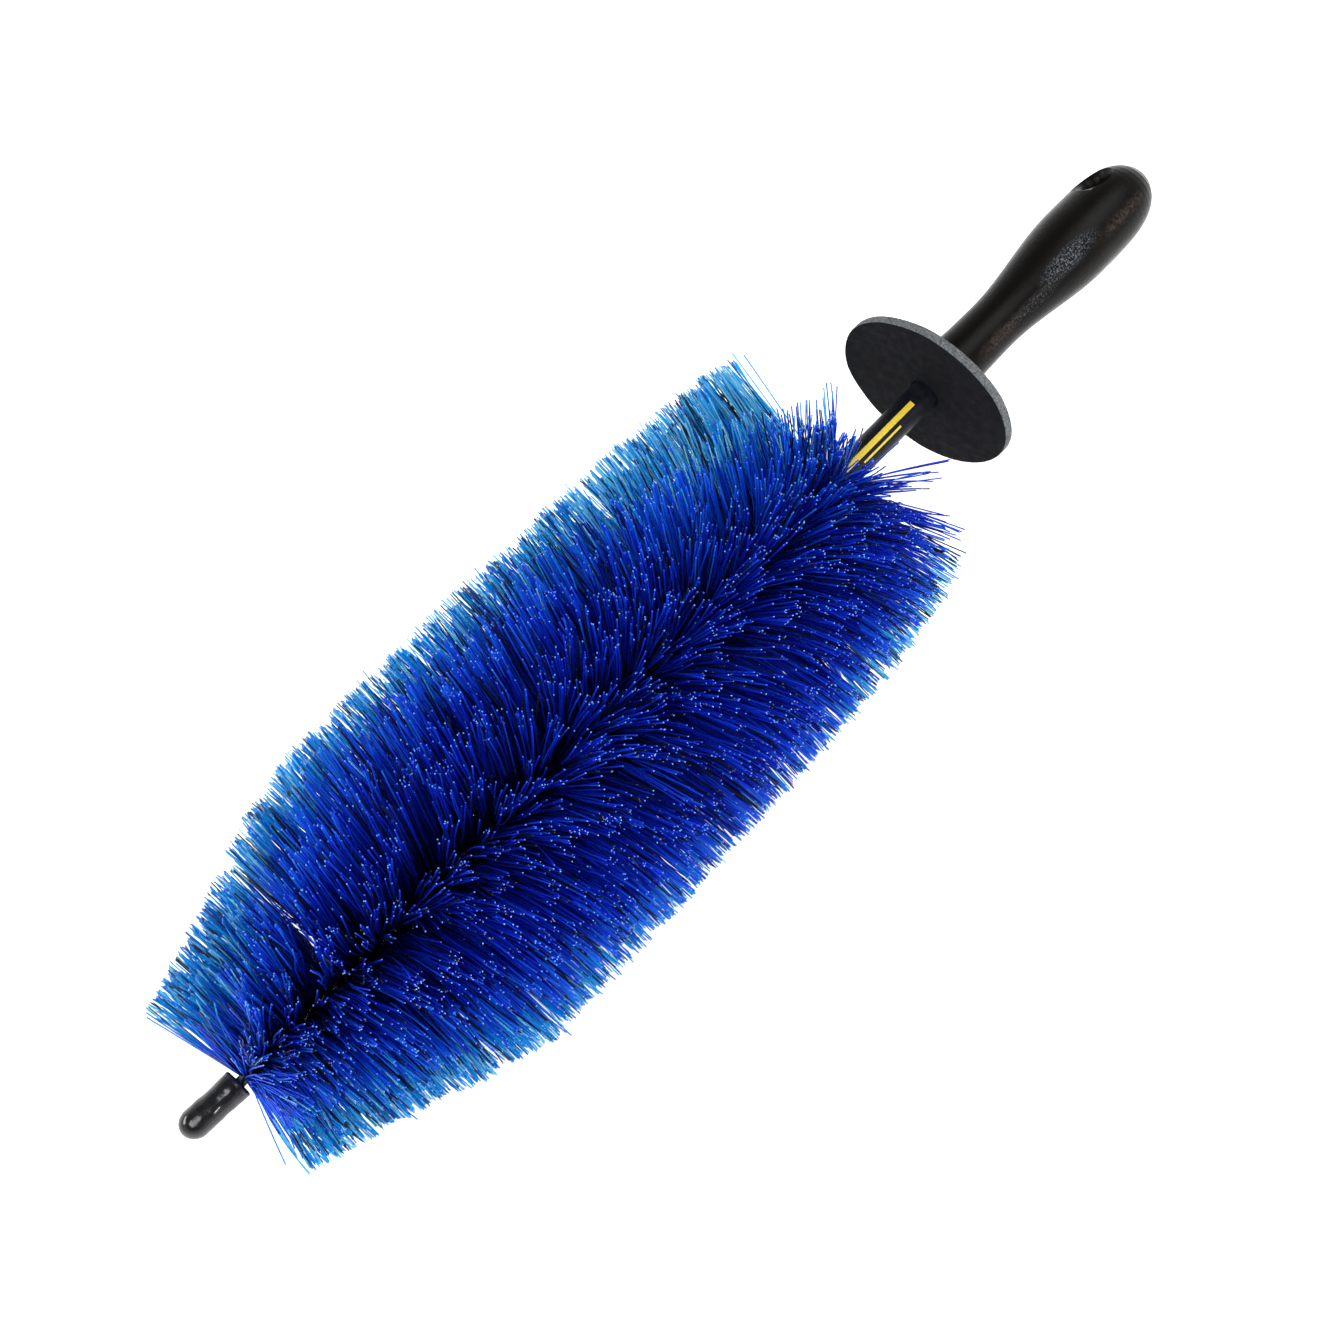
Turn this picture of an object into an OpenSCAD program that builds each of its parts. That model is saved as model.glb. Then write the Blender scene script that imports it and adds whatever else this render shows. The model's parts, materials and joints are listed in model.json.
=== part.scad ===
// Wheel brush: a twisted wire core with a dense coat of bristles, a plastic
// sleeve, a round splash guard and a moulded handle with a hanging hole.
// Stations are distances in millimetres from the tip of the cap towards the
// handle. +X runs from the tip to the handle, +Z is up, and the brush lies on
// the plane z = 0.

/* [Overall] */
// Length from the tip of the cap to the end of the handle
overall_len = 457; // [445:1:480]

/* [Bristle coat] */
// Radius of the coat where it is widest
coat_r = 58.5; // [52:0.5:64]
// Radius of the coat at its front end
coat_front_r = 33.5; // [28:0.5:38]
// Radius of the coat at its rear end
coat_rear_r = 52; // [46:0.5:56]
// Station of the first bristle roots
coat_start = 23; // [22.5:0.5:26]
// Station of the last bristle roots
coat_end = 289; // [284:0.5:290]
// Station where the coat reaches its full radius
coat_knee = 95; // [90:1:100]
// Station where the coat starts to narrow towards the handle
coat_shoulder = 168; // [160:1:176]
// How far the front bristles lean forward at their tips
front_lean = 4; // [2:0.5:5]
// How far the rear bristles lean back at their tips
rear_lean = 3; // [1:0.5:4]

/* [Wire core] */
// Diameter of one strand
strand_d = 1.5; // [1.2:0.1:1.5]
// Length of one turn of the twist
twist_pitch = 22; // [18:1:30]
// Station where the wires start inside the cap
core_start = 7.5; // [7:0.5:10]
// Length of wire held inside the handle
core_grip_len = 69; // [60:1:75]

/* [Flexing core] */
// Number of hinges that stand for the bending core
hinge_count = 6; // [3:1:6]
// Station of the hinge nearest the handle
hinge_first = 250; // [248:1:252]
// Distance between hinges
hinge_step = 36; // [34:1:37]
// Largest angle of one hinge
hinge_max = 10; // [5:1:10]

/* [Tip cap] */
// Length of the cap
cap_len = 21.4; // [19:0.1:22]
// Diameter of the cap
cap_d = 9.8; // [8:0.1:11]

/* [Sleeve] */
// Outer diameter of the sleeve
sleeve_d = 10.6; // [9:0.1:11]
// Inner diameter of the sleeve
sleeve_bore_d = 4.2; // [4.1:0.1:5]
// Length of sleeve held inside the handle
sleeve_grip_len = 22; // [15:1:24]

/* [Guard] */
// Diameter of the guard
guard_d = 65.2; // [50:0.2:80]
// Thickness of the guard
guard_t = 3.2; // [2:0.1:5]

/* [Handle] */
// Length of the handle
handle_len = 117.5; // [114:0.5:122]
// Radius at the front face of the handle
handle_front_r = 10.2; // [9.8:0.1:11]
// Radius of the waist
waist_r = 9.5; // [9.2:0.1:10.5]
// Distance from the end of the handle to the waist
waist_inset = 85; // [80:1:88]
// Radius of the belly
belly_r = 14.1; // [13:0.1:15]
// Distance from the end of the handle to the belly
belly_inset = 36; // [33:1:40]
// Radius of the hanging hole
hang_hole_r = 4; // [3:0.1:4.5]
// Distance from the end of the handle to the hanging hole
hang_hole_inset = 16.5; // [16:0.5:19]
// Half the length of the straight part of the hanging hole
hang_hole_half = 7; // [6:0.5:8]
// Radius of the rounded mouths of the hanging hole
hang_mouth_r = 6; // [5:0.5:7]
// Angle of the hanging hole from the vertical
hang_hole_tilt = 45; // [0:5:90]

/* [Hidden] */

SMOOTH = 96;             // facets round a turned shape
COAT_SIDES = 12;         // sides of a coat section
STRAND_SIDES = 6;        // sides of a strand
SLICES_PER_TURN = 12;    // slices in one turn of the twist
RUNNING = 0.05;          // radial clearance of a sliding fit
SEATED = 0.03;           // radial clearance of a moulded or pressed fit
FACE_GAP = 0.2;          // gap between the guard and the handle
edge_r = 0.8;            // rounding of small edges

axis_z = coat_r;
handle_t = overall_len - handle_len;
guard_front_t = handle_t - FACE_GAP - guard_t;
sleeve_t = coat_end + 1.5;
sleeve_end_t = handle_t + sleeve_grip_len;
core_end_t = handle_t + core_grip_len;

// Four strands lie in a square around the axis and just clear each other.
strand_orbit = (strand_d + SEATED) / sqrt(2);
core_r = strand_orbit + strand_d / 2;
core_gap = 0.4;          // gap on each side of a hinge in the wires
ferrule_len = 12;
ferrule_r = 3.5;

// A V-shaped gap at each hinge lets the coat sections turn without meeting.
groove_half = 0.5;
groove_slope = tan(hinge_max / 2 + 0.4);

function hinge_t(k) = hinge_first - (k - 1) * hinge_step;
function coat_radius(t) = lookup(t, [
  [coat_start - front_lean, coat_front_r],
  [(coat_start + coat_knee) / 2 - 13, coat_front_r + 8.5],
  [coat_knee, coat_r],
  [coat_shoulder, coat_r],
  [coat_end + rear_lean, coat_rear_r]]);
function ease(u) = (1 - cos(180 * u)) / 2;

// Radius of the handle at a distance from its end.
function handle_r(e) =
  e > waist_inset
    ? waist_r + (handle_front_r - waist_r) * ease((e - waist_inset) / (handle_len - waist_inset))
  : e > belly_inset
    ? waist_r + (belly_r - waist_r) * ease((waist_inset - e) / (waist_inset - belly_inset))
  : belly_r * pow(1 - pow(1 - e / belly_inset, 3.6), 1 / 2.2);

// Puts a shape drawn along +Z onto the axis of the brush at a station.
module on_axis(t) {
  translate([t - overall_len / 2, 0, axis_z]) rotate([0, 90, 0]) children();
}

module bore_on_axis(t, r, len) {
  on_axis(t) cylinder(r = r, h = len, $fn = SMOOTH);
}

module handle_outer() {
  steps = 44;
  front = [for (k = [0:4]) [handle_front_r - edge_r + edge_r * sin(k * 22.5),
                            edge_r - edge_r * cos(k * 22.5)]];
  side = [for (k = [1:steps])
            let (e = (handle_len - edge_r) * (1 - k / steps))
            [handle_r(e), handle_len - e]];
  dome = [for (e = [2.4, 1.2, 0.5, 0.12]) [handle_r(e), handle_len - e]];
  body = [for (p = side) if (p[1] < handle_len - 2.5) p];
  on_axis(handle_t)
    rotate_extrude($fn = SMOOTH)
      polygon(concat([[0, 0]], front, body, dome, [[0, handle_len]]));
}

module hang_hole() {
  bend = [for (k = [0:8]) [hang_hole_r + hang_mouth_r * (1 - cos(k * 11.25)),
                           hang_hole_half + hang_mouth_r * sin(k * 11.25)]];
  top = hang_hole_half + hang_mouth_r;
  on_axis(overall_len - hang_hole_inset)
    rotate([0, -90, 0])
      rotate([-hang_hole_tilt, 0, 0]) {
        cylinder(r = hang_hole_r, h = 2 * top, center = true, $fn = SMOOTH);
        for (side = [0, 1])
          mirror([0, 0, side])
            rotate_extrude($fn = SMOOTH)
              polygon(concat([[0, hang_hole_half]], bend,
                             [[hang_hole_r + hang_mouth_r, top + 4], [0, top + 4]]));
      }
}

module handle() {
  ferrule_t = core_end_t - ferrule_len;
  color("#17130f")
    difference() {
      handle_outer();
      bore_on_axis(handle_t - 1, sleeve_d / 2 + SEATED, sleeve_grip_len + 1 + SEATED);
      bore_on_axis(handle_t, core_r + SEATED, core_grip_len);
      bore_on_axis(ferrule_t - SEATED, ferrule_r + SEATED, ferrule_len + 2 * SEATED);
      hang_hole();
    }
}

module guard() {
  outline = [[sleeve_d / 2 + RUNNING, 0],
             [guard_d / 2 - 0.3, 0],
             [guard_d / 2, 0.3],
             [guard_d / 2, guard_t - 0.3],
             [guard_d / 2 - 0.3, guard_t],
             [sleeve_d / 2 + RUNNING, guard_t]];
  color("#3b4043")
    on_axis(guard_front_t) rotate_extrude($fn = SMOOTH) polygon(outline);
}

module sleeve() {
  color("#101114")
    difference() {
      bore_on_axis(sleeve_t, sleeve_d / 2, sleeve_end_t - sleeve_t);
      bore_on_axis(sleeve_t - 1, sleeve_bore_d / 2, sleeve_end_t - sleeve_t + 2);
    }
}

module core_ferrule() {
  color("#b08d4a")
    difference() {
      bore_on_axis(core_end_t - ferrule_len, ferrule_r, ferrule_len);
      bore_on_axis(core_end_t - ferrule_len - 1, core_r + SEATED, ferrule_len + 2);
    }
}

module tip_cap() {
  r = cap_d / 2;
  dome = [for (k = [0:10]) [r * sin(k * 9), r * (1 - cos(k * 9))]];
  lip = [for (k = [0:4]) [r - edge_r + edge_r * cos(k * 22.5),
                          cap_len - edge_r + edge_r * sin(k * 22.5)]];
  color("#0d0d0e")
    difference() {
      on_axis(0) rotate_extrude($fn = SMOOTH) polygon(concat(dome, lip, [[0, cap_len]]));
      bore_on_axis(core_start - 0.1, core_r + SEATED, cap_len);
    }
}

// One section of the coat, from the hinge behind it to the hinge before it.
module bristles(k) {
  first = k == hinge_count;
  last = k == 0;
  root_r = core_r + 0.15;
  front_root = first ? coat_start : hinge_t(k + 1) + groove_half;
  rear_root = last ? coat_end : hinge_t(k) - groove_half;
  front_rim = first ? coat_start - front_lean
                    : front_root + groove_slope * coat_radius(hinge_t(k + 1));
  rear_rim = last ? coat_end + rear_lean
                  : rear_root - groove_slope * coat_radius(hinge_t(k));
  corners = [for (t = [(coat_start + coat_knee) / 2 - 13, coat_knee, coat_shoulder])
               if (t > front_rim + 1 && t < rear_rim - 1) t];
  rim = [for (t = concat([front_rim], corners, [rear_rim]))
           [coat_radius(t) / cos(180 / COAT_SIDES), t]];
  color("#1440c8")
    difference() {
      on_axis(0)
        rotate(180 / COAT_SIDES)
          rotate_extrude($fn = COAT_SIDES)
            polygon(concat([[0.5, front_root]], rim, [[0.5, rear_root]]));
      bore_on_axis(coat_start - 10, root_r, coat_end - coat_start + 20);
    }
}

// Two opposite strands: the two legs of one folded wire.
module wire_legs(k, phase) {
  t0 = k == hinge_count ? core_start : hinge_t(k + 1) + core_gap;
  t1 = k == 0 ? core_end_t : hinge_t(k) - core_gap;
  turns = (t1 - t0) / twist_pitch;
  color("#6d7074")
    on_axis(t0)
      rotate(phase + 360 * t0 / twist_pitch)
        linear_extrude(height = t1 - t0, twist = -360 * turns, slices = ceil(turns * SLICES_PER_TURN))
          for (side = [0, 180])
            rotate(side) translate([strand_orbit, 0]) circle(d = strand_d, $fn = STRAND_SIDES);
}

handle();
guard();
sleeve();
core_ferrule();
tip_cap();
for (k = [0:hinge_count]) {
  bristles(k);
  wire_legs(k, 0);
  wire_legs(k, 90);
}
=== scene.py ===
import json
import math

import bpy
import numpy as np
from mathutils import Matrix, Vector


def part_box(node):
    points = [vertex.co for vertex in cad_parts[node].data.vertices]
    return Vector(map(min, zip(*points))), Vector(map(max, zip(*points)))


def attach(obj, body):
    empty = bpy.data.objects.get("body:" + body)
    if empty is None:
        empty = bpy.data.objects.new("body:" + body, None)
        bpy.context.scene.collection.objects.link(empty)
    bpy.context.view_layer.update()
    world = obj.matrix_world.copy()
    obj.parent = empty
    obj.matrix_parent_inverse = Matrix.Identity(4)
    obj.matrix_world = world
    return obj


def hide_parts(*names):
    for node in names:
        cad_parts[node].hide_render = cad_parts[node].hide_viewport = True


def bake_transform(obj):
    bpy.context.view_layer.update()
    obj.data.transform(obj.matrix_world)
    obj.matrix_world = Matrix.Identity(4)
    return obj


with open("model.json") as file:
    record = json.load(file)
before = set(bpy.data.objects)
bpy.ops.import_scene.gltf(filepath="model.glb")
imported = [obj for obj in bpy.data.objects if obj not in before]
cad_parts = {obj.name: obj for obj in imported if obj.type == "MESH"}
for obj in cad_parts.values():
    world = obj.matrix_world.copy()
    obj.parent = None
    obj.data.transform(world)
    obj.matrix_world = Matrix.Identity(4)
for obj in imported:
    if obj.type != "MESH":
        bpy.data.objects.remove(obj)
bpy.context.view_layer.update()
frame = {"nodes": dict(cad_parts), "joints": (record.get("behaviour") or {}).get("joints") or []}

MM = 0.001

# ---------------------------------------------------------------- places, read from the frame

hinges = [joint for joint in frame["joints"] if joint["type"] == "hinge"]
hinges.sort(key=lambda hinge: -hinge["pos_m"][0])
HINGE_X = [hinge["pos_m"][0] for hinge in hinges]
AXIS_Z = hinges[0]["pos_m"][2]
CAP_LOW, CAP_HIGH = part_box("tip_cap")
GUARD_LOW, GUARD_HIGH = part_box("guard")
SLEEVE_LOW, SLEEVE_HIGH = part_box("sleeve")
WIRE_LOW, WIRE_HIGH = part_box("wire_a_0")
TIP_X = CAP_LOW.x


def station(mm):
    """X of a point this many millimetres from the tip of the cap."""
    return TIP_X + mm * MM


# ---------------------------------------------------------------- camera, light and floor

# The camera looks down on the brush from above its tip and to one side.
CAMERA_AZIMUTH = math.radians(-47.8)
CAMERA_ELEVATION = math.radians(65.9)
CAMERA_DISTANCE = 0.6356
CAMERA_AIM = station(203.1)
CAMERA_LENS = 54.5


def direction(azimuth, elevation):
    """Unit vector from the object towards a camera or lamp; azimuth 0 looks along +Y."""
    flat = math.cos(elevation)
    return Vector((math.sin(azimuth) * flat, -math.cos(azimuth) * flat, math.sin(elevation)))


def make_camera():
    """The camera of the main view, aimed at a point on the brush's axis."""
    camera = bpy.data.objects.new("camera", bpy.data.cameras.new("camera"))
    bpy.context.scene.collection.objects.link(camera)
    back = direction(CAMERA_AZIMUTH, CAMERA_ELEVATION)
    camera.location = Vector((CAMERA_AIM, 0, AXIS_Z)) + back * CAMERA_DISTANCE
    camera.rotation_mode = "QUATERNION"
    camera.rotation_quaternion = (-back).to_track_quat("-Z", "Y")
    camera.data.lens = CAMERA_LENS
    camera.data.sensor_width = 36
    camera.data.clip_start = 0.01
    camera.data.clip_end = 30
    bpy.context.scene.camera = camera


def area_lamp(name, azimuth, elevation, distance, size, power):
    """A rectangular lamp that faces the origin; angles in degrees, lengths in metres, power in watts."""
    lamp = bpy.data.lights.new(name, "AREA")
    lamp.shape = "RECTANGLE"
    lamp.size, lamp.size_y = size
    lamp.energy = power
    holder = bpy.data.objects.new(name, lamp)
    bpy.context.scene.collection.objects.link(holder)
    towards = direction(math.radians(azimuth), math.radians(elevation))
    holder.location = Vector((0, 0, AXIS_Z)) + towards * distance
    holder.rotation_mode = "QUATERNION"
    holder.rotation_quaternion = towards.to_track_quat("Z", "Y")


# The sky is white near the horizon and grey overhead, so glossy black parts don't turn pale.
# Each value is the height on the unit sphere where the change starts or ends.
SKY_WHITE_BELOW = 0.22
SKY_GREY_ABOVE = 0.55
SKY_GREY = (0.10, 0.10, 0.105, 1)


def make_lights():
    """Two broad lamps, a narrow one for the long glint on the handle and a low one for the far edge."""
    area_lamp("key", -82, 62, 1.3, (0.9, 0.6), 11)
    area_lamp("rear", 78, 50, 1.3, (0.8, 0.6), 6)
    area_lamp("streak", 12, 33, 1.2, (0.6, 0.06), 6)
    area_lamp("edge", -140, 22, 1.4, (0.9, 0.3), 9)
    world = bpy.data.worlds.new("studio")
    bpy.context.scene.world = world
    world.use_nodes = True
    sky = world.node_tree.nodes["Background"]
    sky.inputs["Strength"].default_value = 1.0
    place = world.node_tree.nodes.new("ShaderNodeTexCoord")
    split = world.node_tree.nodes.new("ShaderNodeSeparateXYZ")
    height = world.node_tree.nodes.new("ShaderNodeValToRGB")
    height.color_ramp.elements[0].position = SKY_WHITE_BELOW
    height.color_ramp.elements[0].color = (1, 1, 1, 1)
    height.color_ramp.elements[1].position = SKY_GREY_ABOVE
    height.color_ramp.elements[1].color = SKY_GREY
    world.node_tree.links.new(place.outputs["Generated"], split.inputs["Vector"])
    world.node_tree.links.new(split.outputs["Z"], height.inputs["Fac"])
    world.node_tree.links.new(height.outputs["Color"], sky.inputs["Color"])


def new_object(name, mesh):
    """An object with this mesh, linked to the scene."""
    obj = bpy.data.objects.new(name, mesh)
    bpy.context.scene.collection.objects.link(obj)
    return obj


def make_floor():
    """A wide sheet of white paper, which glows a little so that shadows on it stay faint."""
    half = 60.0
    mesh = bpy.data.meshes.new("floor")
    mesh.from_pydata([(-half, -half, 0), (half, -half, 0), (half, half, 0), (-half, half, 0)],
                     [], [(0, 1, 2, 3)])
    floor = new_object("floor", mesh)
    paper = bpy.data.materials.new("floor_paper")
    paper.use_nodes = True
    surface = paper.node_tree.nodes["Principled BSDF"]
    surface.inputs["Base Color"].default_value = (0.93, 0.93, 0.93, 1)
    surface.inputs["Roughness"].default_value = 0.9
    surface.inputs["Specular IOR Level"].default_value = 0.1
    surface.inputs["Emission Color"].default_value = (1, 1, 1, 1)
    surface.inputs["Emission Strength"].default_value = 0.62
    mesh.materials.append(paper)


# ---------------------------------------------------------------- materials


def material_with(name, colour, roughness, **sockets):
    """A Principled material whose plain values are set on the shader's own sockets."""
    material = bpy.data.materials.new(name)
    material.use_nodes = True
    surface = material.node_tree.nodes["Principled BSDF"]
    surface.inputs["Base Color"].default_value = (*colour, 1)
    surface.inputs["Roughness"].default_value = roughness
    for socket, value in sockets.items():
        surface.inputs[socket.replace("_", " ")].default_value = value
    return material


def add(material, kind, **settings):
    """A new node; each setting goes to the socket of that name, or else to the node's own property."""
    node = material.node_tree.nodes.new(kind)
    for key, value in settings.items():
        if key in node.inputs:
            node.inputs[key].default_value = value
        else:
            setattr(node, key, value)
    return node


def join(material, source, target):
    """Links one socket to another."""
    material.node_tree.links.new(source, target)


def place_in(material):
    """The point in the object's own space, which is the row frame in metres."""
    node = material.node_tree.nodes.get("place") or add(material, "ShaderNodeTexCoord", name="place")
    return node.outputs["Object"]


def noise(material, scale, detail=3.0, roughness=0.55):
    """Noise in the object's own space; scale counts the details in a metre."""
    place = place_in(material)
    node = add(material, "ShaderNodeTexNoise", Scale=scale, Detail=detail, Roughness=roughness)
    join(material, place, node.inputs["Vector"])
    return node.outputs["Fac"]


def ramp(material, factor, stops):
    """A colour ramp of (position, colour) stops driven by factor."""
    node = add(material, "ShaderNodeValToRGB")
    node.color_ramp.elements[0].position, node.color_ramp.elements[-1].position = stops[0][0], stops[-1][0]
    for position, _ in stops[1:-1]:
        node.color_ramp.elements.new(position)
    for element, (_, colour) in zip(node.color_ramp.elements, stops):
        element.color = (*colour, 1)
    join(material, factor, node.inputs["Fac"])
    return node.outputs["Color"]


def grey(value):
    """A grey colour, also used as a plain number in a ramp."""
    return (value, value, value)


def bump(material, height, strength, distance, below=None):
    """A normal bent by height, on top of the normal below if there is one."""
    node = add(material, "ShaderNodeBump", Strength=strength, Distance=distance)
    join(material, height, node.inputs["Height"])
    if below is not None:
        join(material, below, node.inputs["Normal"])
    return node.outputs["Normal"]


def dress(material, colour=None, roughness=None, normal=None):
    """Links procedural colour, roughness and normal to the material's shader."""
    surface = material.node_tree.nodes["Principled BSDF"]
    for socket, source in (("Base Color", colour), ("Roughness", roughness), ("Normal", normal)):
        if source is not None:
            join(material, source, surface.inputs[socket])
    return material


def patch(material, centre, size):
    """1 at a point on the object, falling to 0 on an ellipsoid of this size round it."""
    place = place_in(material)
    away = add(material, "ShaderNodeVectorMath", operation="SUBTRACT")
    away.inputs[1].default_value = centre
    join(material, place, away.inputs[0])
    scaled = add(material, "ShaderNodeVectorMath", operation="DIVIDE")
    scaled.inputs[1].default_value = size
    join(material, away.outputs["Vector"], scaled.inputs[0])
    length = add(material, "ShaderNodeVectorMath", operation="LENGTH")
    join(material, scaled.outputs["Vector"], length.inputs[0])
    return ramp(material, length.outputs["Value"], [(0.0, grey(1)), (0.45, grey(0.6)), (1.0, grey(0))])


def blended(material, factor, first, second):
    """First where factor is 0 and second where it is 1; each is a colour or a socket."""
    node = add(material, "ShaderNodeMix", data_type="RGBA")
    join(material, factor, node.inputs[0])
    for socket, value in ((node.inputs[6], first), (node.inputs[7], second)):
        if isinstance(value, tuple):
            socket.default_value = (*value, 1)
        else:
            join(material, value, socket)
    return node.outputs[2]


def product(material, first, second):
    """The product of two sockets."""
    node = add(material, "ShaderNodeMath", operation="MULTIPLY")
    join(material, first, node.inputs[0])
    join(material, second, node.inputs[1])
    return node.outputs["Value"]


HANDLE_BLACK = (0.005, 0.0045, 0.004)

# Painted highlights on the handle, where the lamps' glints fall: station (mm), offset in Y and Z from the
# axis, half length, half width (m) and colour. The pale ones are fine, and the brown ones, painted warm
# reflections, are coarse.
PAINTED_GLINTS = [(406, -0.0055, 0.011, 0.018, 0.0042, (0.24, 0.27, 0.32)),
          (385, -0.0070, 0.0072, 0.028, 0.0028, (0.09, 0.088, 0.095))]
PAINTED_WARM_GLINTS = [(434, -0.0086, 0.0108, 0.020, 0.0032, (0.075, 0.054, 0.043)),
          (367, -0.0070, 0.0072, 0.014, 0.0032, (0.075, 0.054, 0.043))]


def handle_material():
    """Moulded plastic, near black, with pale and brown painted highlights below the belly and along one
    side.
    """
    m = material_with("handle_gloss", HANDLE_BLACK, 0.18, Specular_IOR_Level=0.07)
    fine = noise(m, 1700, 3, 0.7)
    glint_flecks = ramp(m, fine, [(0.0, grey(0)), (0.50, grey(0)), (0.64, grey(1))])
    glint_streaks = ramp(m, noise(m, 800, 4, 0.7), [(0.0, grey(0)), (0.40, grey(0)), (0.70, grey(1))])
    colour = HANDLE_BLACK
    # Painted highlights: each patch blends its pale or brown glint colour into the black.
    for grain, places in ((glint_flecks, PAINTED_GLINTS), (glint_streaks, PAINTED_WARM_GLINTS)):
        for at, side, up, length, width, glint_colour in places:
            mask = product(m, grain, patch(m, (station(at), side, AXIS_Z + up), (length, width, width)))
            colour = blended(m, mask, colour, glint_colour)
    dull = ramp(m, noise(m, 70, 4), [(0.3, grey(0.11)), (0.7, grey(0.24))])
    peel = bump(m, noise(m, 800, 2), 0.25, 0.0002)
    return dress(m, colour, dull, bump(m, fine, 0.5, 0.0002, below=peel))


def foam_material(name, dark, light, pore_scale):
    """Closed-cell foam rubber: fine pores over a slow mottle."""
    m = material_with(name, dark, 0.85, Specular_IOR_Level=0.08)
    pores = noise(m, pore_scale, 3)
    colour = ramp(m, pores, [(0.32, dark), (0.5, tuple((a + b) / 2 for a, b in zip(dark, light))),
                             (0.72, light)])
    rough = ramp(m, noise(m, 300, 3), [(0.3, grey(0.7)), (0.7, grey(0.95))])
    return dress(m, colour, rough, bump(m, pores, 0.3, 0.0002))


def sleeve_material():
    """Extruded satin tube with faint length-wise die lines."""
    m = material_with("sleeve_satin", (0.006, 0.007, 0.010), 0.35, Specular_IOR_Level=0.15)
    place = place_in(m)
    stretch = add(m, "ShaderNodeMapping", name="stretch")
    stretch.inputs["Scale"].default_value = (30, 2600, 2600)
    join(m, place, stretch.inputs["Vector"])
    lines = add(m, "ShaderNodeTexNoise", Scale=1.0, Detail=2.0)
    join(m, stretch.outputs["Vector"], lines.inputs["Vector"])
    tint = ramp(m, noise(m, 420, 3), [(0.35, (0.004, 0.005, 0.007)), (0.75, (0.011, 0.012, 0.018))])
    rough = ramp(m, noise(m, 200, 3), [(0.3, grey(0.28)), (0.7, grey(0.45))])
    return dress(m, tint, rough, bump(m, lines.outputs["Fac"], 0.12, 0.0001))


def vinyl_material():
    """Dipped vinyl: very glossy, with slow sags in the film."""
    m = material_with("cap_vinyl", (0.008, 0.008, 0.009), 0.12, Specular_IOR_Level=0.45, Coat_Weight=0.1,
                      Coat_Roughness=0.05)
    tint = ramp(m, noise(m, 500, 3), [(0.3, (0.006, 0.006, 0.007)), (0.8, (0.016, 0.016, 0.018))])
    rough = ramp(m, noise(m, 260, 3), [(0.3, grey(0.10)), (0.7, grey(0.24))])
    return dress(m, tint, rough, bump(m, noise(m, 240, 2), 0.25, 0.0006))


def steel_material():
    """Drawn wire, dulled and faintly stained."""
    m = material_with("core_steel", (0.30, 0.30, 0.31), 0.35, Metallic=1.0)
    tint = ramp(m, noise(m, 380, 4), [(0.3, (0.03, 0.028, 0.026)), (0.7, (0.15, 0.15, 0.16))])
    rough = ramp(m, noise(m, 900, 3), [(0.3, grey(0.25)), (0.7, grey(0.55))])
    return dress(m, tint, rough, bump(m, noise(m, 3000, 2), 0.2, 0.0001))


def print_material():
    """Yellow ink with thin spots where the sleeve shows through."""
    m = material_with("stripe_ink", (0.80, 0.58, 0.03), 0.45)
    tint = ramp(m, noise(m, 2400, 3), [(0.25, (0.35, 0.24, 0.01)), (0.42, (0.80, 0.58, 0.03)),
                                       (0.8, (0.92, 0.70, 0.07))])
    rough = ramp(m, noise(m, 900, 2), [(0.3, grey(0.35)), (0.7, grey(0.6))])
    return dress(m, tint, rough)


# Each filament takes one shade of each kind, so the coat's colour varies filament by filament.
# Its material index counts through the lists in this order.
DEEP_BLUES = [(0.003, 0.020, 0.50), (0.004, 0.028, 0.62), (0.001, 0.006, 0.20), (0.009, 0.065, 0.84)]
# Painted shade: the inner ends of the blue filaments take this darkest blue.
DARKEST_PAINTED_SHADE = 2  # index of the shade for the inner ends, which little light reaches
# Painted light: the mid blues fade the paler, painted-backlit edges into the deep blues.
MID_BLUES = [(0.006, 0.075, 0.72), (0.012, 0.13, 0.80)]
# Clear blues let light through; their pale colour is painted backlight at the coat's edges.
CLEAR_BACKLIT_BLUES = [(0.015, 0.38, 0.86), (0.006, 0.23, 0.76), (0.045, 0.52, 0.92), (0.30, 0.76, 0.95)]
# Painted highlight: the cut ends are paler, as if light carried along the filament shone out of them.
TIP_GLINT_BLUES = [(0.14, 0.38, 0.92), (0.05, 0.18, 0.82), (0.01, 0.07, 0.62)]
BLACKS = [(0.004, 0.005, 0.008), (0.008, 0.013, 0.024)]
FIRST_MID = len(DEEP_BLUES)
FIRST_CLEAR_BACKLIT = FIRST_MID + len(MID_BLUES)
FIRST_TIP_GLINT = FIRST_CLEAR_BACKLIT + len(CLEAR_BACKLIT_BLUES)
FIRST_BLACK = FIRST_TIP_GLINT + len(TIP_GLINT_BLUES)


def bristle_materials():
    """Solid blues for the deep coat, clear blues with painted backlight for its edges, cut tips painted
    bright, and blacks.
    """
    made = [material_with(f"filament_deep_{i}", c, 0.38, Specular_IOR_Level=0.35)
            for i, c in enumerate(DEEP_BLUES)]
    made += [material_with(f"filament_mid_{i}", c, 0.38, Specular_IOR_Level=0.35)
             for i, c in enumerate(MID_BLUES)]
    made += [material_with(f"filament_clear_{i}", c, 0.2, Transmission_Weight=0.55, IOR=1.1)
             for i, c in enumerate(CLEAR_BACKLIT_BLUES)]
    made += [material_with(f"filament_tip_{i}", c, 0.3) for i, c in enumerate(TIP_GLINT_BLUES)]
    made += [material_with(f"filament_black_{i}", c, 0.3) for i, c in enumerate(BLACKS)]
    return made


# ---------------------------------------------------------------- mesh building


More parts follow.
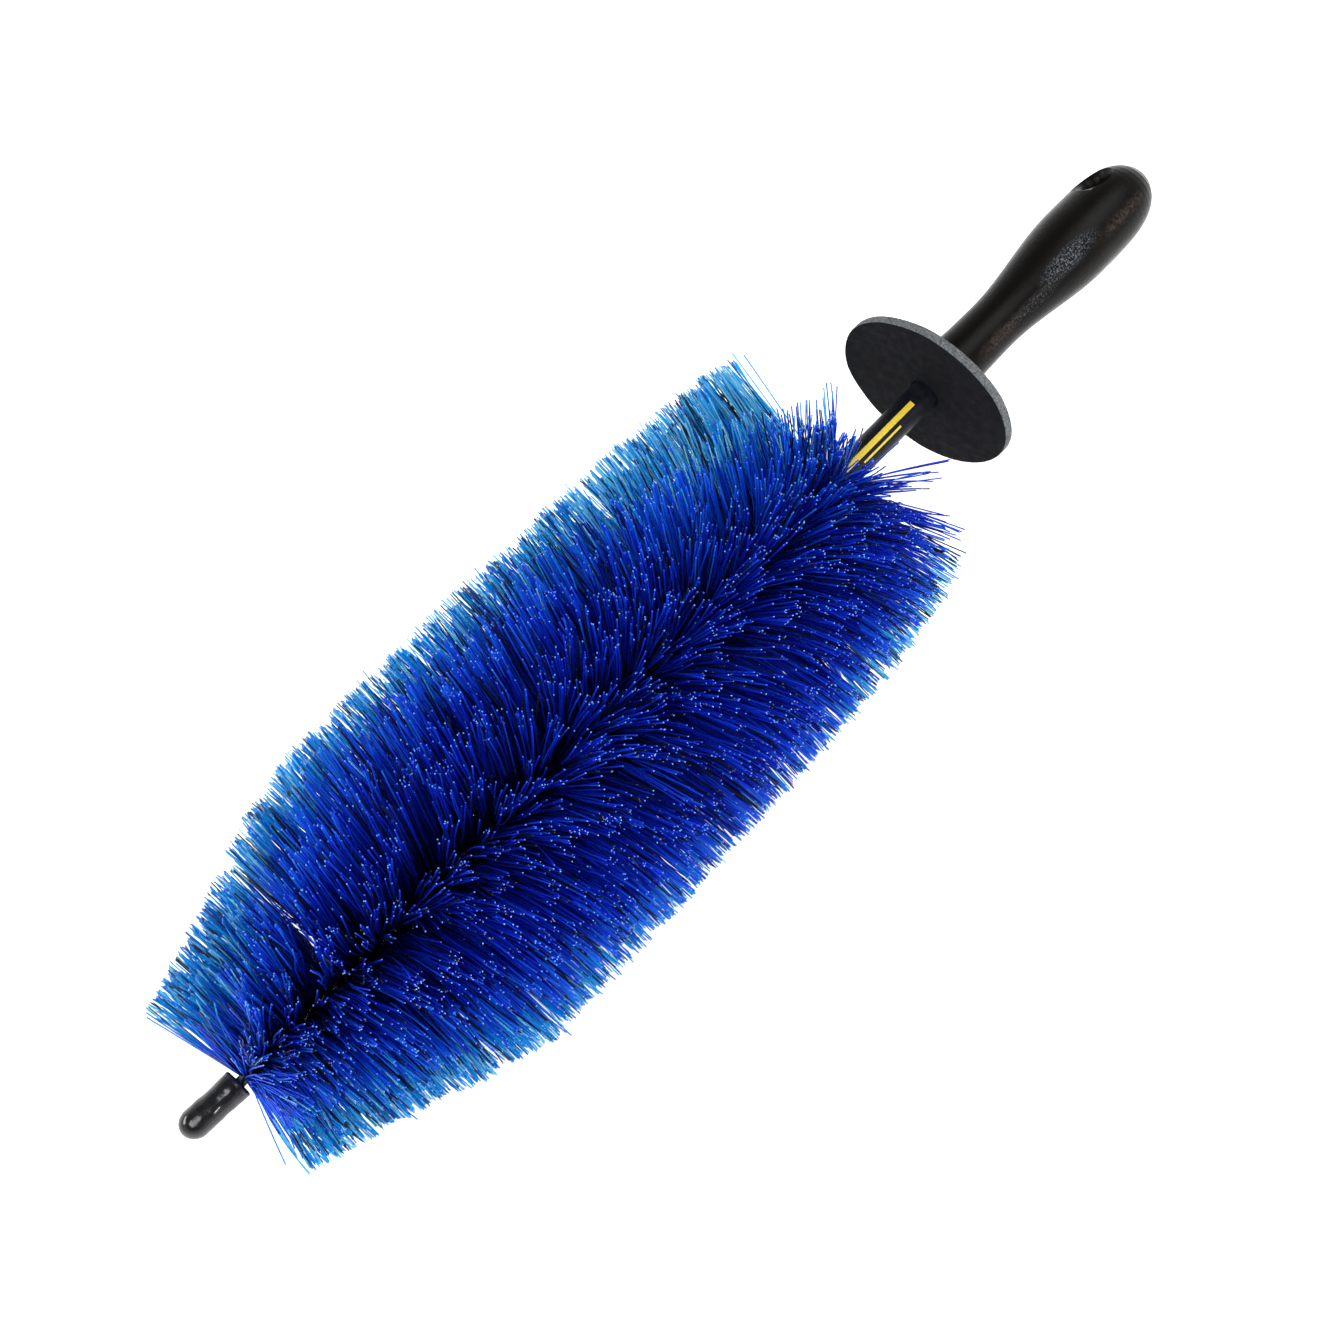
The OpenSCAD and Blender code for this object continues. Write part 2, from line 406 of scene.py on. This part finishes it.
def build_mesh(name, points, face_loops, face_sizes, face_shades, smooth, materials):
    """An object from flat arrays of points and faces."""
    mesh = bpy.data.meshes.new(name)
    mesh.vertices.add(len(points))
    mesh.vertices.foreach_set("co", np.asarray(points, np.float32).ravel())
    mesh.loops.add(len(face_loops))
    mesh.loops.foreach_set("vertex_index", np.asarray(face_loops, np.int32))
    mesh.polygons.add(len(face_sizes))
    starts = np.concatenate([[0], np.cumsum(face_sizes)[:-1]])
    mesh.polygons.foreach_set("loop_start", starts.astype(np.int32))
    for material in materials:
        mesh.materials.append(material)
    mesh.polygons.foreach_set("material_index", np.asarray(face_shades, np.int32))
    mesh.polygons.foreach_set("use_smooth", np.asarray(smooth, bool))
    mesh.update(calc_edges=True)
    mesh.validate()
    return new_object(name, mesh)


def tubes(name, paths, radii, sides, step_shades, end_shades, materials):
    """One closed tube along each path. paths is (tubes, rings, 3) and step_shades (tubes, rings - 1)."""
    count, rings, _ = paths.shape
    axis = paths[:, -1] - paths[:, 0]
    axis /= np.linalg.norm(axis, axis=1, keepdims=True)
    side = np.cross(axis, np.where(np.abs(axis[:, :1]) < 0.9, [[1.0, 0, 0]], [[0, 1.0, 0]]))
    side /= np.linalg.norm(side, axis=1, keepdims=True)
    other = np.cross(axis, side)
    angles = 2 * math.pi * np.arange(sides) / sides
    ring = (side[:, None, None, :] * np.cos(angles)[None, None, :, None]
            + other[:, None, None, :] * np.sin(angles)[None, None, :, None])
    points = (paths[:, :, None, :] + ring * radii[None, :, None, None]).reshape(-1, 3)

    first = (np.arange(count) * rings * sides)[:, None, None]
    row = (np.arange(rings - 1) * sides)[None, :, None]
    here = np.arange(sides)[None, None, :]
    after = (here + 1) % sides
    low, low_next = first + row + here, first + row + after
    quads = np.stack([low, low_next, low_next + sides, low + sides], -1).reshape(-1, 4)
    tips = first[:, :, 0] + (rings - 1) * sides + here[0]
    roots = first[:, :, 0] + here[0][:, ::-1]
    loops = np.concatenate([quads.ravel(), tips.ravel(), roots.ravel()])
    sizes = np.repeat([4, sides], [len(quads), 2 * count])
    shades = np.concatenate([np.repeat(step_shades.ravel(), sides), end_shades, step_shades[:, 0]])
    smooth = np.repeat([True, False], [len(quads), 2 * count])
    return build_mesh(name, points, loops, sizes, shades, smooth, materials)


def ring_surface(name, rings, shades, materials):
    """A closed turned surface. rings is (rings, around, 3); the last ring joins the first."""
    count, around, _ = rings.shape
    i = np.arange(count)[:, None]
    j = np.arange(around)[None, :]
    a, b = i * around + j, i * around + (j + 1) % around
    c, d = ((i + 1) % count) * around + (j + 1) % around, ((i + 1) % count) * around + j
    quads = np.stack([a, b, c, d], -1).reshape(-1, 4)
    return build_mesh(name, rings.reshape(-1, 3), quads.ravel(), np.full(len(quads), 4),
                      np.repeat(shades, around), np.ones(len(quads)), materials)


def turned(outline, around):
    """Rings about the brush's axis for an outline of (X, radius) points."""
    angles = 2 * math.pi * np.arange(around) / around
    outline = np.asarray(outline, float)
    rings = np.empty((len(outline), around, 3))
    rings[:, :, 0] = outline[:, :1]
    rings[:, :, 1] = outline[:, 1:] * np.cos(angles)
    rings[:, :, 2] = AXIS_Z + outline[:, 1:] * np.sin(angles)
    return rings


def arc(centre_x, centre_r, radius, start, end, steps):
    """Points of an arc in the (X, radius) plane, angles in degrees from +X towards larger radius."""
    angles = np.radians(np.linspace(start, end, steps))
    return [(centre_x + radius * math.cos(a), centre_r + radius * math.sin(a)) for a in angles]


def ripple(points, scale, height, seed):
    """Smooth random heights at points, a sum of a few waves in random directions."""
    rng = np.random.default_rng(seed)
    total = np.zeros(points.shape[:-1])
    for _ in range(10):
        wave = rng.normal(0, 1, 3) * 2 * math.pi / scale
        total += np.sin(points @ wave + rng.random() * 6.28)
    return height * total / math.sqrt(10)


# ---------------------------------------------------------------- bristles

COAT_FRONT = station(23)
COAT_REAR = station(289)
COAT_STATIONS = [17, 46, 72, 96, 165, 234, 266, 292]
COAT_RADII = [33.5, 42, 52, 58.5, 58.8, 57.5, 56, 52]
COAT_OFFSET = (0.9 * MM, 0.27 * MM)
FILAMENT_RADIUS = 0.23 * MM
ROOT_RADIUS = 1.2 * MM
TUFTS = 2650
TUFT_SIZE = 7  # filaments in a tuft

# Partings where the ground shows through: station, distance out from the axis, half width and
# half length (mm).
PARTINGS = [(64.6, 8.2, 2.7, 4.2), (38.5, 12.5, 1.8, 5.0)]
GOLDEN_ANGLE = math.pi * (3 - math.sqrt(5))
FILAMENT_SIDES = 5
FILAMENT_ALONG = np.array([0.0, 0.22, 0.40, 0.55, 0.68, 0.84, 0.9955, 1.0])
FILAMENT_TAPER = np.array([0.85, 0.95, 1.0, 1.0, 1.0, 1.0, 1.0, 0.88])
BLACK_SHARE = 0.145

# Angles about the axis, from +Y towards +Z: the left long edge of the coat as the camera sees it, and
# the notch between that edge and the middle of the coat at its rear end.
EDGE_TURN = math.radians(16.7)
NOTCH_TURN = math.radians(60)

# Near its two long edges the coat is thin enough to see the ground through, to these depths (mm); the clear
# blues there are paler as painted backlight, deepest on the left, where the light comes through.
CLEAR_BACKLIT_STATIONS = [25, 60, 95, 140, 200, 240, 289]
CLEAR_BACKLIT_LEFT = [20, 14, 12, 12, 14, 23, 34]
CLEAR_BACKLIT_RIGHT = [18, 14, 11, 7, 5, 7, 11]


def coat_radius(x):
    """Radius of the trimmed coat at X."""
    return np.interp((x - TIP_X) / MM, COAT_STATIONS, COAT_RADII) * MM


def lean_at(x, turn):
    """How far a filament leans along X at its tip. The coat's ends splay unevenly round the core."""
    from_front = np.clip((COAT_FRONT + 40 * MM - x) / (40 * MM), 0, 1)
    from_rear = np.clip((x - COAT_REAR + 34 * MM) / (34 * MM), 0, 1)
    right = np.clip(-np.cos(turn - EDGE_TURN), 0, 1)
    above = np.clip(np.sin(turn - EDGE_TURN), 0, 1)
    under = np.clip(-np.sin(turn - EDGE_TURN), 0, 1)
    at_front = (9.0 * above ** 2 + 17.0 * under - 6.0) * from_front ** 1.6
    at_rear = (8.0 * right - 5.0) * from_rear ** 1.8
    return (at_front + at_rear) * MM


def grow_filaments(rng):
    """Roots, tips and bends of all filaments, as arrays. Y and Z are measured from the axis."""
    count = TUFTS * TUFT_SIZE
    # Tufts spiral along the core. They lean, turn and vary in length at random and in slow waves.
    tuft_x = COAT_FRONT + (COAT_REAR - COAT_FRONT) * (np.arange(TUFTS) + rng.random(TUFTS)) / TUFTS
    tuft_turn = GOLDEN_ANGLE * np.arange(TUFTS) + rng.normal(0, 0.10, TUFTS)
    around = np.stack([tuft_x, 0.05 * np.cos(tuft_turn), 0.05 * np.sin(tuft_turn)], 1)
    tuft_slope = rng.normal(0, 1.0, (TUFTS, 2)) * (1.9 * MM, 0.036)
    tuft_slope[:, 0] += ripple(around, 60 * MM, 1.8 * MM, 21)
    tuft_slope[:, 1] += ripple(around, 60 * MM, 0.035, 22)
    tuft_length = rng.normal(1.0, 0.010, TUFTS) + ripple(around, 50 * MM, 0.008, 23)
    tuft_bend = rng.normal(0, 0.6 * MM, (TUFTS, 2))

    # The filaments of a tuft fan out a little, and some are cut short.
    owner = np.repeat(np.arange(TUFTS), TUFT_SIZE)
    root_x = np.clip(tuft_x[owner] + rng.normal(0, 0.7 * MM, count), COAT_FRONT, COAT_REAR)
    turn_root = tuft_turn[owner] + rng.normal(0, 0.25, count)
    tip_x = root_x + lean_at(root_x, turn_root) + tuft_slope[owner, 0] + rng.normal(0, 1.3 * MM, count)
    turn_tip = tuft_turn[owner] + tuft_slope[owner, 1] + rng.normal(0, 0.035, count)
    # At the rear the filaments part on both sides of the notch.
    from_notch = np.angle(np.exp(1j * (turn_tip - NOTCH_TURN)))
    in_notch = np.clip((tip_x - station(257)) / (20 * MM), 0, 1) * np.exp(-(from_notch / 0.42) ** 2)
    turn_tip = turn_tip + np.sign(from_notch) * 0.34 * in_notch
    length = tuft_length[owner] * rng.normal(1.0, 0.012, count)
    short = rng.random(count) < 0.28
    length = np.where(short, length * rng.uniform(0.80, 0.98, count), length)
    # A few filaments stray, and a few at the rear lean far back over the sleeve.
    stray = rng.random(count) < 0.010
    tip_x = np.where(stray, tip_x + rng.normal(0, 5 * MM, count), tip_x)
    rearmost = (root_x > COAT_REAR - 9 * MM) & (np.cos(turn_root - EDGE_TURN) < 0.1)
    caught = (rng.random(count) < 0.07) & rearmost
    tip_x = np.where(caught, tip_x + rng.gamma(2.0, 3.6 * MM, count), tip_x)
    length = np.where(stray, length * rng.uniform(1.0, 1.045, count), np.minimum(length, 1.03))
    tip_r = coat_radius(tip_x) * length

    root = np.stack([root_x, ROOT_RADIUS * np.cos(turn_root), ROOT_RADIUS * np.sin(turn_root)], 1)
    tip = np.stack([tip_x, tip_r * np.cos(turn_tip) + COAT_OFFSET[0],
                    tip_r * np.sin(turn_tip) + COAT_OFFSET[1]], 1)
    tip[:, 2] = np.maximum(tip[:, 2], 0.4 * MM - AXIS_Z)  # just above the floor
    bend = tuft_bend[owner] + rng.normal(0, 0.4 * MM, (count, 2))
    return root, tip, bend


def shade_filaments(rng, paths):
    """Material index of each step of each filament, and of its cut end."""
    count = len(paths)
    # One shade of each kind for each filament.
    deep = rng.integers(0, len(DEEP_BLUES), (count, 1))
    mid = FIRST_MID + rng.integers(0, len(MID_BLUES), (count, 1))
    clear = FIRST_CLEAR_BACKLIT + rng.integers(0, len(CLEAR_BACKLIT_BLUES), (count, 1))
    tip = FIRST_TIP_GLINT + rng.integers(0, len(TIP_GLINT_BLUES), count)
    middles = (paths[:, 1:] + paths[:, :-1]) / 2
    across = middles[:, :, 1] * math.cos(EDGE_TURN) + (middles[:, :, 2] - AXIS_Z) * math.sin(EDGE_TURN)
    at = (middles[:, :, 0] - TIP_X) / MM
    # Towards the rear more of the clear filaments take the palest blues, as painted backlight.
    pale = rng.random((count, 1)) < np.interp(at[:, -1:], [190, 255], [0, 0.65])
    clear = np.where(pale, FIRST_CLEAR_BACKLIT + rng.integers(2, len(CLEAR_BACKLIT_BLUES), (count, 1)), clear)
    # How deep each step lies in the coat, where 1 is as deep as the ground shows through and the painted
    # backlight reaches.
    edge = coat_radius(middles[:, :, 0])
    left = (edge - across) / (np.interp(at, CLEAR_BACKLIT_STATIONS, CLEAR_BACKLIT_LEFT) * MM)
    right = (edge + across) / (np.interp(at, CLEAR_BACKLIT_STATIONS, CLEAR_BACKLIT_RIGHT) * MM)
    depth = np.minimum(left, right) * rng.lognormal(0, 0.22, (count, 1))
    # Painted light: clear, paler blues at the edges, then the mid blues, then the deep blues.
    steps = np.where(depth < 1, clear, np.where(depth < 2.0, mid, deep))
    # Painted shade: the two innermost steps of each blue filament take the darkest blue.
    steps[:, :2] = np.where(steps[:, :2] < FIRST_MID, DARKEST_PAINTED_SHADE, steps[:, :2])
    # Painted highlight: the cut end takes one of the paler tip blues.
    steps[:, -1] = tip
    black = rng.random(count) < BLACK_SHARE
    dark = FIRST_BLACK + rng.integers(0, len(BLACKS), count)
    return np.where(black[:, None], dark[:, None], steps), np.where(black, dark, tip)


def open_parting(paths, at, out_by, half_width, half_length):
    """Pushes filaments aside so that the view passes the core. Returns those that no longer cross it."""
    view = direction(CAMERA_AZIMUTH, CAMERA_ELEVATION)
    out = np.array([0.0, math.cos(EDGE_TURN), math.sin(EDGE_TURN)])
    base = np.array([station(at), 0, AXIS_Z]) + out * out_by * MM
    basis = np.linalg.inv(np.stack([(1.0, 0.0, 0.0), out, tuple(view)], 1))

    def gap_and_aside(points):
        """Half width of the parting beside each point, and how far along X the point is from its middle."""
        local = (points - base) @ basis.T / MM
        return half_width * np.exp(-(local[..., 1] / half_length) ** 2), local[..., 0]

    gap, aside = gap_and_aside(paths[:, 1:-2])
    pushed = np.sign(aside) * (gap + np.abs(aside) / 2)
    paths[:, 1:-2, 0] += np.where(np.abs(aside) < 2 * gap, pushed - aside, 0) * MM
    between = np.linspace(0, 1, 7)[None, None, :, None]
    gap, aside = gap_and_aside(paths[:, :-1, None] * (1 - between) + paths[:, 1:, None] * between)
    return ~((np.abs(aside) < 0.9 * gap) & (gap > 0.4 * half_width)).any(axis=(1, 2))


def filament_paths(root, tip, bend):
    """Points along each filament: straight, with a gentle bow."""
    axis = tip - root
    across = np.cross(axis, [1.0, 0, 0])
    across /= np.linalg.norm(across, axis=1, keepdims=True)
    bow = (FILAMENT_ALONG * (1 - FILAMENT_ALONG) * 4)[None, :, None]
    points = root[:, None, :] + axis[:, None, :] * FILAMENT_ALONG[None, :, None]
    points = points + bow * (bend[:, :1] * [1.0, 0, 0] + bend[:, 1:] * across)[:, None, :]
    points[:, :, 2] += AXIS_Z
    return points


PAST_THE_ENDS = 9.0  # metres, beyond either end of the brush


def zone_limits():
    """X limits of the stretch of core that bends at each hinge, from the handle to the tip."""
    middles = [(a + b) / 2 for a, b in zip(HINGE_X, HINGE_X[1:])]
    return list(zip(middles + [-PAST_THE_ENDS], [PAST_THE_ENDS] + middles))


def bend_with_hinge(piece):
    """Bakes the piece's transform into its mesh."""
    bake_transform(piece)


def nodes_at(kind, k):
    """The CAD nodes that the pieces round hinge k stand for."""
    return [f"{kind}_{k + 1}"] + ([f"{kind}_0"] if k == 0 else [])


def make_bristles():
    """The coat, in two halves for each hinge so that no piece has too many faces."""
    rng = np.random.default_rng(7)
    materials = bristle_materials()
    root, tip, bend = grow_filaments(rng)
    paths = filament_paths(root, tip, bend)
    for parting in PARTINGS:
        kept = open_parting(paths, *parting)
        root, tip, paths = root[kept], tip[kept], paths[kept]
    steps, ends = shade_filaments(rng, paths)
    for k, (low, high) in enumerate(zone_limits()):
        for side, on_side in (("left", tip[:, 1] < 0), ("right", tip[:, 1] >= 0)):
            chosen = (root[:, 0] >= low) & (root[:, 0] < high) & on_side
            piece = tubes(f"bristles_{side}_{k + 1}", paths[chosen], FILAMENT_RADIUS * FILAMENT_TAPER,
                          FILAMENT_SIDES, steps[chosen], ends[chosen], materials)
            bend_with_hinge(piece)
            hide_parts(*nodes_at("bristles", k))


# ---------------------------------------------------------------- core wires

STRAND_RADIUS = 0.75 * MM
STRAND_ORBIT = (WIRE_HIGH.z - WIRE_LOW.z) / 2 - STRAND_RADIUS
STRANDS = 4
STRAND_SIDES = 10
TWIST_PITCH = 22 * MM
RINGS_PER_TURN = 18


def strand_path(x_low, x_high, phase):
    """A strand's centre line between two X values, twisting as the CAD strands do."""
    rings = max(3, int((x_high - x_low) / TWIST_PITCH * RINGS_PER_TURN) + 1)
    x = np.linspace(x_low, x_high, rings)
    turn = -phase - 2 * math.pi * (x - TIP_X) / TWIST_PITCH
    return np.stack([x, STRAND_ORBIT * np.cos(turn), AXIS_Z + STRAND_ORBIT * np.sin(turn)], 1)


def make_wires():
    """The four twisted strands, one piece for each hinge."""
    steel = steel_material()
    wire_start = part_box(f"wire_a_{len(hinges)}")[0].x
    for k, (low, high) in enumerate(zone_limits()):
        low, high = max(low, wire_start), min(high, WIRE_HIGH.x)
        paths = np.array([strand_path(low, high, phase * math.pi / 2) for phase in range(STRANDS)])
        rings = paths.shape[1]
        shades = np.zeros((STRANDS, rings - 1), int)
        piece = tubes(f"core_wires_{k + 1}", paths, np.full(rings, STRAND_RADIUS), STRAND_SIDES, shades,
                      np.zeros(STRANDS, int), [steel])
        bend_with_hinge(piece)
        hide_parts(*nodes_at("wire_a", k), *nodes_at("wire_b", k))


# ---------------------------------------------------------------- cap, sleeve and guard


def make_cap():
    """A dipped cap: an uneven film, a rounded lip and a tip that sits a little off the axis."""
    radius = (CAP_HIGH.z - CAP_LOW.z) / 2
    bore = STRAND_ORBIT + STRAND_RADIUS + 0.05 * MM
    length = CAP_HIGH.x - CAP_LOW.x
    dome = [(TIP_X + radius * (1 - math.cos(a)) * 1.05, max(0.02 * MM, radius * math.sin(a) * 0.97))
            for a in np.radians(np.linspace(0, 88, 18))]
    wall = []
    for u in np.linspace(0.28, 0.93, 26):
        waist = -0.22 * math.exp(-((u - 0.62) / 0.13) ** 2) + 0.05 * math.exp(-((u - 0.86) / 0.07) ** 2)
        wall.append((TIP_X + u * length, radius * 0.97 + waist * MM))
    lip = arc(CAP_HIGH.x - 0.9 * MM, radius - 0.95 * MM, 0.9 * MM, 90, -60, 10)
    inner = [(CAP_HIGH.x - 2.0 * MM, bore), (TIP_X + 6 * MM, bore), (TIP_X + 5.5 * MM, 0.02 * MM)]
    rings = turned(dome + wall + lip + inner, 64)
    centre = np.stack([rings[:, :, 0], np.zeros(rings.shape[:2]), np.full(rings.shape[:2], AXIS_Z)], -1)
    film = 1 + ripple(rings, 11 * MM, 0.012, 3)[:, :, None]
    rings = centre + (rings - centre) * film
    to_tip = np.clip((CAP_HIGH.x - rings[:, :, 0]) / length, 0, 1)
    rings[:, :, 1] += 0.9 * MM * to_tip + 0.2 * MM
    rings[:, :, 2] += 0.3 * MM * to_tip
    piece = ring_surface("tip_cap_dipped", rings, np.zeros(len(rings), int), [vinyl_material()])
    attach(piece, hinges[-1]["child"])
    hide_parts("tip_cap")


def make_sleeve():
    """The tube over the core, with softened ends. Returns its radius, for the printed stripes."""
    radius = (SLEEVE_HIGH.z - SLEEVE_LOW.z) / 2
    bore = STRAND_ORBIT + STRAND_RADIUS + 0.25 * MM
    start, end = SLEEVE_LOW.x, SLEEVE_HIGH.x
    edge = 0.5 * MM
    outline = arc(start + edge, radius - edge, edge, 180, 90, 6)
    outline += [(x, radius) for x in np.linspace(start + 2 * edge, end - 2 * edge, 60)]
    outline += arc(end - edge, radius - edge, edge, 90, 0, 6) + [(end, bore), (start, bore)]
    rings = turned(outline, 72)
    centre = np.array([0, 0, AXIS_Z])
    offset = (rings - centre) * [0, 1, 1]
    rings = rings + offset * (ripple(rings, 26 * MM, 0.004, 5)[:, :, None] - 0.006)
    piece = ring_surface("sleeve_tube", rings, np.zeros(len(rings), int), [sleeve_material()])
    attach(piece, "handle_body")
    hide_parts("sleeve")
    return radius


# Printed stripes: name, direction faced and half width (degrees round the axis), first and last station.
STRIPES = [("stripe_wide", 99, 11, 293, 328), ("stripe_narrow", 129, 4, 300, 319)]


def make_stripes(radius):
    """Two thin ink films on the side of the sleeve that faces up."""
    ink = print_material()
    for name, facing, width, x_low, x_high in STRIPES:
        across = np.radians(np.linspace(facing - width, facing + width, 17))
        x = np.linspace(station(x_low), station(x_high), 24)
        layers = []
        for r in (radius - 0.06 * MM, radius + 0.01 * MM):
            grid = np.empty((len(x), len(across), 3))
            grid[:, :, 0] = x[:, None]
            grid[:, :, 1] = r * np.cos(across)
            grid[:, :, 2] = AXIS_Z + r * np.sin(across)
            layers.append(grid)
        rim = np.concatenate([layers[1], layers[0][:, ::-1]], axis=1)
        rows, around, _ = rim.shape
        i, j = np.arange(rows - 1)[:, None], np.arange(around)[None, :]
        a, b = i * around + j, i * around + (j + 1) % around
        quads = np.stack([a, b, b + around, a + around], -1).reshape(-1, 4)[:, ::-1]
        ends = np.concatenate([np.arange(around), (rows - 1) * around + np.arange(around)[::-1]])
        loops = np.concatenate([quads.ravel(), ends])
        sizes = np.concatenate([np.full(len(quads), 4), [around, around]])
        piece = build_mesh(name, rim.reshape(-1, 3), loops, sizes, np.zeros(len(sizes)),
                           np.zeros(len(sizes)), [ink])
        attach(piece, "handle_body")


GUARD_TILT = (0.070, 0.021)  # how far the face leans towards the tip for each metre in Y and in Z


def make_guard():
    """A foam disc that its own softness lets sit slightly out of square, with a paler cut rim."""
    radius = (GUARD_HIGH.z - GUARD_LOW.z) / 2
    bore = (SLEEVE_HIGH.z - SLEEVE_LOW.z) / 2 + 0.12 * MM
    front, back = GUARD_LOW.x, GUARD_HIGH.x
    edge = 0.35 * MM
    radii = np.linspace(bore + 0.3 * MM, radius - 2 * edge, 46)
    face = [(front, r) for r in radii]
    rim = arc(front + edge, radius - edge, edge, 180, 90, 5)
    rim += [(x, radius) for x in np.linspace(front + 0.8 * MM, back - 0.8 * MM, 6)]
    rim += arc(back - edge, radius - edge, edge, 90, 0, 5)
    behind = [(back, r) for r in radii[::-1]]
    inner = [(back - 0.3 * MM, bore), (front + 0.3 * MM, bore)]
    rings = turned(face + rim + behind + inner, 220)
    y, z = rings[:, :, 1], rings[:, :, 2] - AXIS_Z
    out = np.hypot(y, z)
    free = np.clip((out - 11 * MM) / (radius - 11 * MM), 0, 1)
    lift = GUARD_TILT[0] * y + GUARD_TILT[1] * z
    rings[:, :, 0] -= lift * free * 1.25 + ripple(rings * [0, 1, 1], 45 * MM, 0.18 * MM, 9) * free
    rings[:, :, 0] += ripple(rings, 1.6 * MM, 0.006 * MM, 11) * (out > bore + MM)
    grow = 1 + ripple(rings, 1.4 * MM, 0.0012, 13)
    rings[:, :, 1], rings[:, :, 2] = y * grow, AXIS_Z + z * grow
    shades = np.zeros(len(rings), int)
    shades[len(face) + 1:len(face) + len(rim) - 2] = 1
    skin = foam_material("guard_skin", (0.004, 0.004, 0.0045), (0.010, 0.010, 0.011), 2600)
    cut = foam_material("guard_cut_rim", (0.045, 0.050, 0.054), (0.20, 0.21, 0.215), 1500)
    piece = ring_surface("guard_disc", rings, shades, [skin, cut])
    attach(piece, "guard_body")
    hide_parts("guard")


def dress_cad_nodes():
    """Materials for the CAD meshes that stay visible, or that stay inside the handle."""
    for node, material in (("handle", handle_material()), ("core_ferrule", steel_material())):
        slots = frame["nodes"][node].material_slots
        for slot in slots:
            slot.material = material


make_camera()
make_lights()
make_floor()
make_bristles()
make_wires()
make_cap()
make_stripes(make_sleeve())
make_guard()
dress_cad_nodes()
bpy.context.scene.view_settings.view_transform = "Standard"
